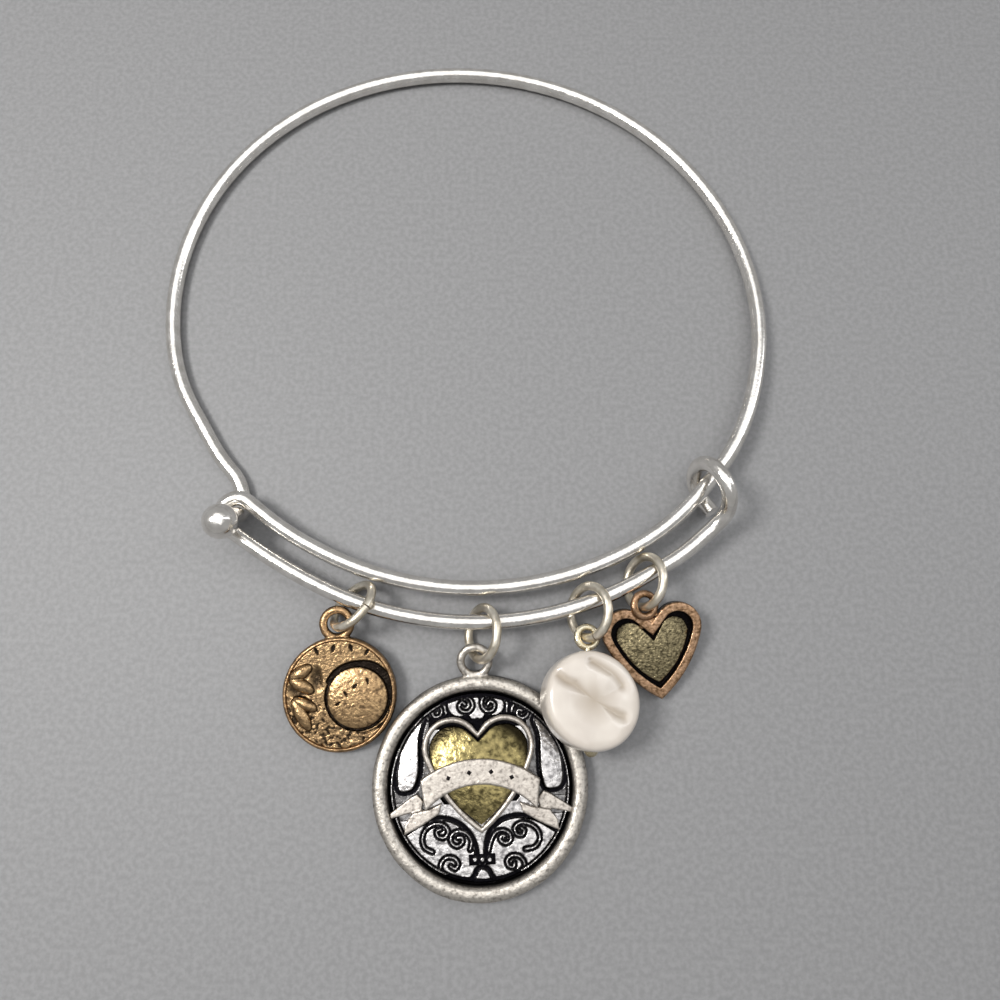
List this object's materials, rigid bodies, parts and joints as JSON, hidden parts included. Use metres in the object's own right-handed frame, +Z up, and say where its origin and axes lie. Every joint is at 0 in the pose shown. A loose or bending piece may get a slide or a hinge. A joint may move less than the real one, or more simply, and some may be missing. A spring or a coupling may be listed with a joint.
{
  "type": "charm bangle",
  "caption": "Adjustable wire bangle with a hairpin and a wound loop, carrying a disc, a heart medallion, a coin pearl and a heart on jump rings.",
  "frame": {"origin": "on the floor, in the middle of the whole bangle's plan as it lies on its side", "axes": "+Z up through the hoop, its shortest extent; +Y away from the charms, its longest extent; X across the hoop"},
  "size_m": [0.066, 0.0914, 0.0071],
  "materials": {
    "silver_wire": "bright drawn wire, silver plated",
    "jump_ring_wire": "plain plated wire, slightly warm",
    "antique_copper": "cast, darkened and rubbed bright on its high places",
    "antique_silver": "cast, black in its low places and rubbed bright on its high places",
    "pearl": "nacre, creamy white with a soft lustre",
    "pin_wire": "pale gilt wire"
  },
  "bodies": {
    "root": {"bangle_wire": "silver_wire", "jump_ring_disc": "jump_ring_wire", "jump_ring_medallion": "jump_ring_wire", "jump_ring_pearl": "jump_ring_wire", "jump_ring_heart": "jump_ring_wire", "disc_charm": "antique_copper", "medallion": "antique_silver", "pearl_bead": "pearl", "head_pin": "pin_wire", "heart_charm": "antique_copper"}
  },
  "joints": []
}
